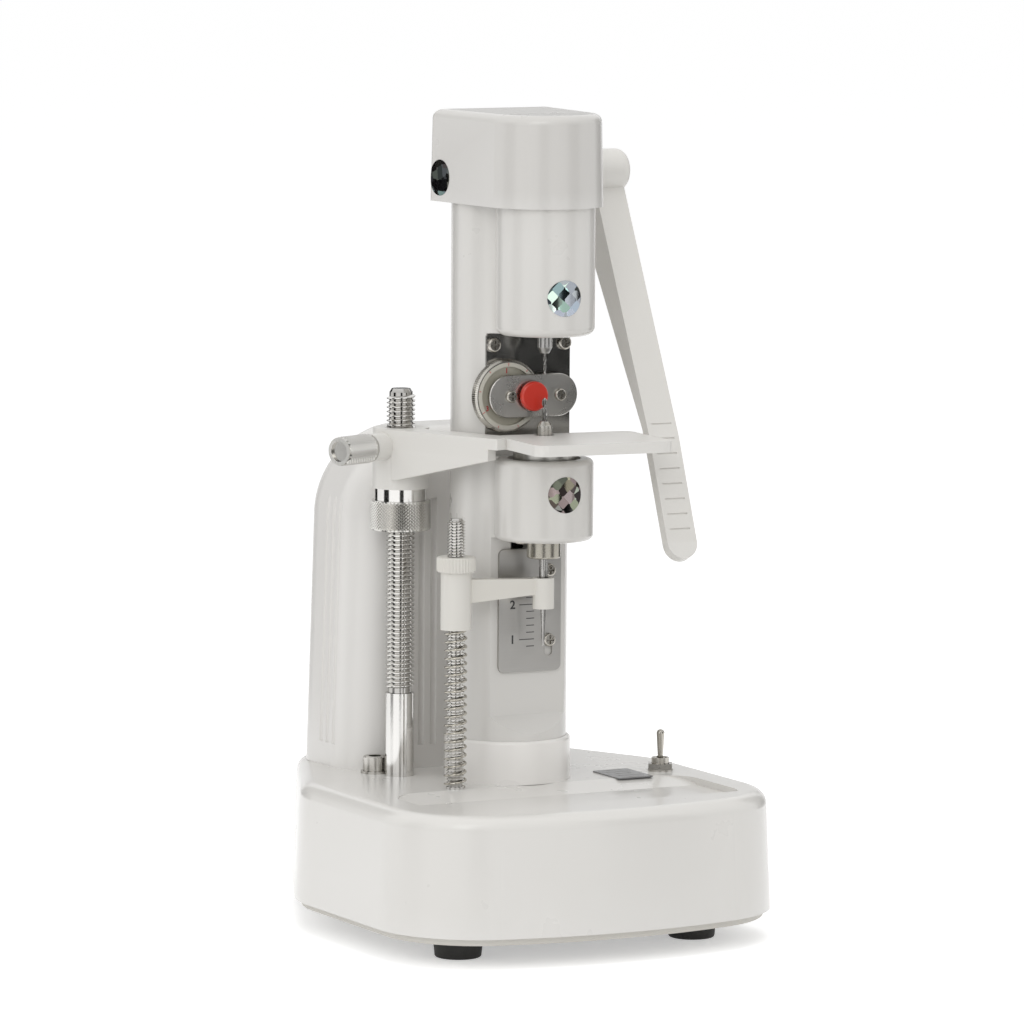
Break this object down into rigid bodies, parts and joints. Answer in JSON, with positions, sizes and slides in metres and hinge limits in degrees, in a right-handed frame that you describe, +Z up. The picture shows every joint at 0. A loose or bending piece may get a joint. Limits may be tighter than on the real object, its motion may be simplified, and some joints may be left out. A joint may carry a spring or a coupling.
{
  "type": "lens drilling machine",
  "caption": "Bench machine with two facing drills and a reamer on a column, a hand lever, a height-set table, an edge stop and a rear housing on a wide base",
  "frame": {"origin": "floor level under the middle of the base, on the column's axis", "axes": "+Z up, the front with the drills faces -Y, the hand lever is on +X"},
  "size_m": [0.1426, 0.1714, 0.2753],
  "materials": {
    "painted_white": "glossy white enamel",
    "cream_paint": "satin off-white enamel",
    "beige_paint": "satin beige paint",
    "black_rubber": "matt moulded rubber",
    "nickel": "bright nickel plating",
    "milled_aluminium": "fine milled",
    "bronze": "sintered bronze",
    "bright_steel": "ground bright",
    "dark_steel": "blackened",
    "spring_steel": "bright drawn wire",
    "motor_steel": "zinc plated",
    "brass_collet": "turned, nickel worn",
    "polished_plate": "polished flat",
    "brushed_plate": "fine brushed, engraved",
    "red_plastic": "moulded gloss",
    "foil": "faceted reflecting foil",
    "chrome_hardware": "bright chrome plating",
    "housing_plastic": "moulded gloss white",
    "gland_plastic": "moulded black",
    "core_steel": "laminated core, varnished",
    "board_green": "laminate",
    "switch_nickel": "nickel plated brass",
    "label_foil": "printed foil"
  },
  "bodies": {
    "base": {"base_shell": "painted_white", "base_plate": "beige_paint", "rubber_feet": "black_rubber", "foot_screws": "nickel", "column": "painted_white", "pedestal": "painted_white", "column_screws": "nickel", "top_cap": "painted_white", "bearing_frame": "milled_aluminium", "cap_screw": "nickel", "frame_screws": "nickel", "shaft_bushes": "bronze", "guide_rods": "bright_steel", "return_springs": "spring_steel", "lower_motor": "motor_steel", "motor_screws": "nickel", "motor_grub_screw": "dark_steel", "guide_plate": "polished_plate", "guide_plate_screws": "nickel", "bracket_spacers": "bright_steel", "stop_bracket": "brushed_plate", "bracket_screws": "nickel", "scale_plate": "brushed_plate", "scale_screws": "nickel", "foil_dots": "foil", "table_post": "chrome_hardware", "stop_post": "chrome_hardware", "post_nuts": "nickel", "stop_spring": "spring_steel", "post_screw": "nickel", "rear_housing": "housing_plastic", "housing_screws": "nickel", "cable_gland": "gland_plastic", "transformer": "core_steel", "circuit_board": "board_green", "switch_body": "switch_nickel", "switch_nut": "switch_nickel", "switch_label": "label_foil"},
    "lever": {"lever": "cream_paint", "lever_shaft": "bright_steel", "drive_arm": "bright_steel", "shaft_grub_screws": "dark_steel"},
    "carriage": {"motor_carriage": "milled_aluminium", "carriage_pin": "bright_steel", "carriage_screw": "dark_steel", "upper_motor": "motor_steel"},
    "upper_spindle": {"upper_chuck": "brass_collet", "upper_drill": "bright_steel"},
    "lower_spindle": {"lower_spindle": "brass_collet", "lower_drill": "bright_steel", "reamer": "bright_steel"},
    "dial": {"dial": "brushed_plate"},
    "stop_button": {"stop_button": "red_plastic"},
    "table": {"table_arm": "cream_paint", "support_collar": "chrome_hardware"},
    "thumb_screw": {"thumb_screw": "chrome_hardware"},
    "height_nut": {"height_nut": "chrome_hardware"},
    "reamer_stop": {"stop_arm": "cream_paint"},
    "stop_nut": {"stop_nut": "cream_paint"},
    "switch_lever": {"switch_lever": "switch_nickel"}
  },
  "joints": [
    {"name": "lever_swing", "type": "hinge", "parent": "base", "child": "lever", "pos_m": [0, 0.0084, 0.2536], "axis": [1, 0, 0], "range_deg": [0, 17.25], "stiffness_Nm_per_rad": 0.3, "springref_deg": -28.65},
    {"name": "spindle_feed", "type": "slide", "parent": "base", "child": "carriage", "axis": [0, 0, -1], "range_m": [0, 0.0075], "deforming": ["return_springs"]},
    {"name": "upper_spin", "type": "hinge", "parent": "carriage", "child": "upper_spindle", "pos_m": [0, -0.0252, 0.2], "axis": [0, 0, 1], "continuous": true},
    {"name": "lower_spin", "type": "hinge", "parent": "base", "child": "lower_spindle", "pos_m": [0, -0.0252, 0.15], "axis": [0, 0, 1], "continuous": true},
    {"name": "dial_turn", "type": "hinge", "parent": "base", "child": "dial", "pos_m": [-0.0093, -0.0154, 0.181], "axis": [0, -1, 0], "range_deg": [-135, 135]},
    {"name": "stop_slide", "type": "slide", "parent": "base", "child": "stop_button", "axis": [0, -1, 0], "range_m": [-0.0012, 0.0012]},
    {"name": "table_height", "type": "slide", "parent": "base", "child": "table", "axis": [0, 0, 1], "range_m": [-0.0012, 0.0025]},
    {"name": "nut_turn", "type": "hinge", "parent": "table", "child": "height_nut", "pos_m": [-0.0316, 0.018, 0.14], "axis": [0, 0, 1], "range_deg": [-300, 650]},
    {"name": "thumb_turn", "type": "hinge", "parent": "table", "child": "thumb_screw", "pos_m": [-0.0316, 0.018, 0.1625], "axis": [-0.9232, -0.3843, 0], "range_deg": [-180, 180]},
    {"name": "stop_height", "type": "slide", "parent": "base", "child": "reamer_stop", "axis": [0, 0, 1], "range_m": [-0.012, 0.005], "deforming": ["stop_spring"]},
    {"name": "stop_nut_turn", "type": "hinge", "parent": "reamer_stop", "child": "stop_nut", "pos_m": [-0.0285, -0.017, 0.126], "axis": [0, 0, 1], "range_deg": [-4400, 1850]},
    {"name": "switch_tilt", "type": "hinge", "parent": "base", "child": "switch_lever", "pos_m": [0.053, -0.011, 0.0525], "axis": [1, 0, 0], "range_deg": [-12, 12]}
  ],
  "couplings": [
    {"joint": "spindle_feed", "follows": "lever_swing", "m_per_rad": 0.0249},
    {"joint": "stop_slide", "follows": "dial_turn", "m_per_rad": 0.000509},
    {"joint": "nut_turn", "follows": "table_height", "rad_per_m": 4188.8},
    {"joint": "stop_nut_turn", "follows": "stop_height", "rad_per_m": 6283.2}
  ]
}
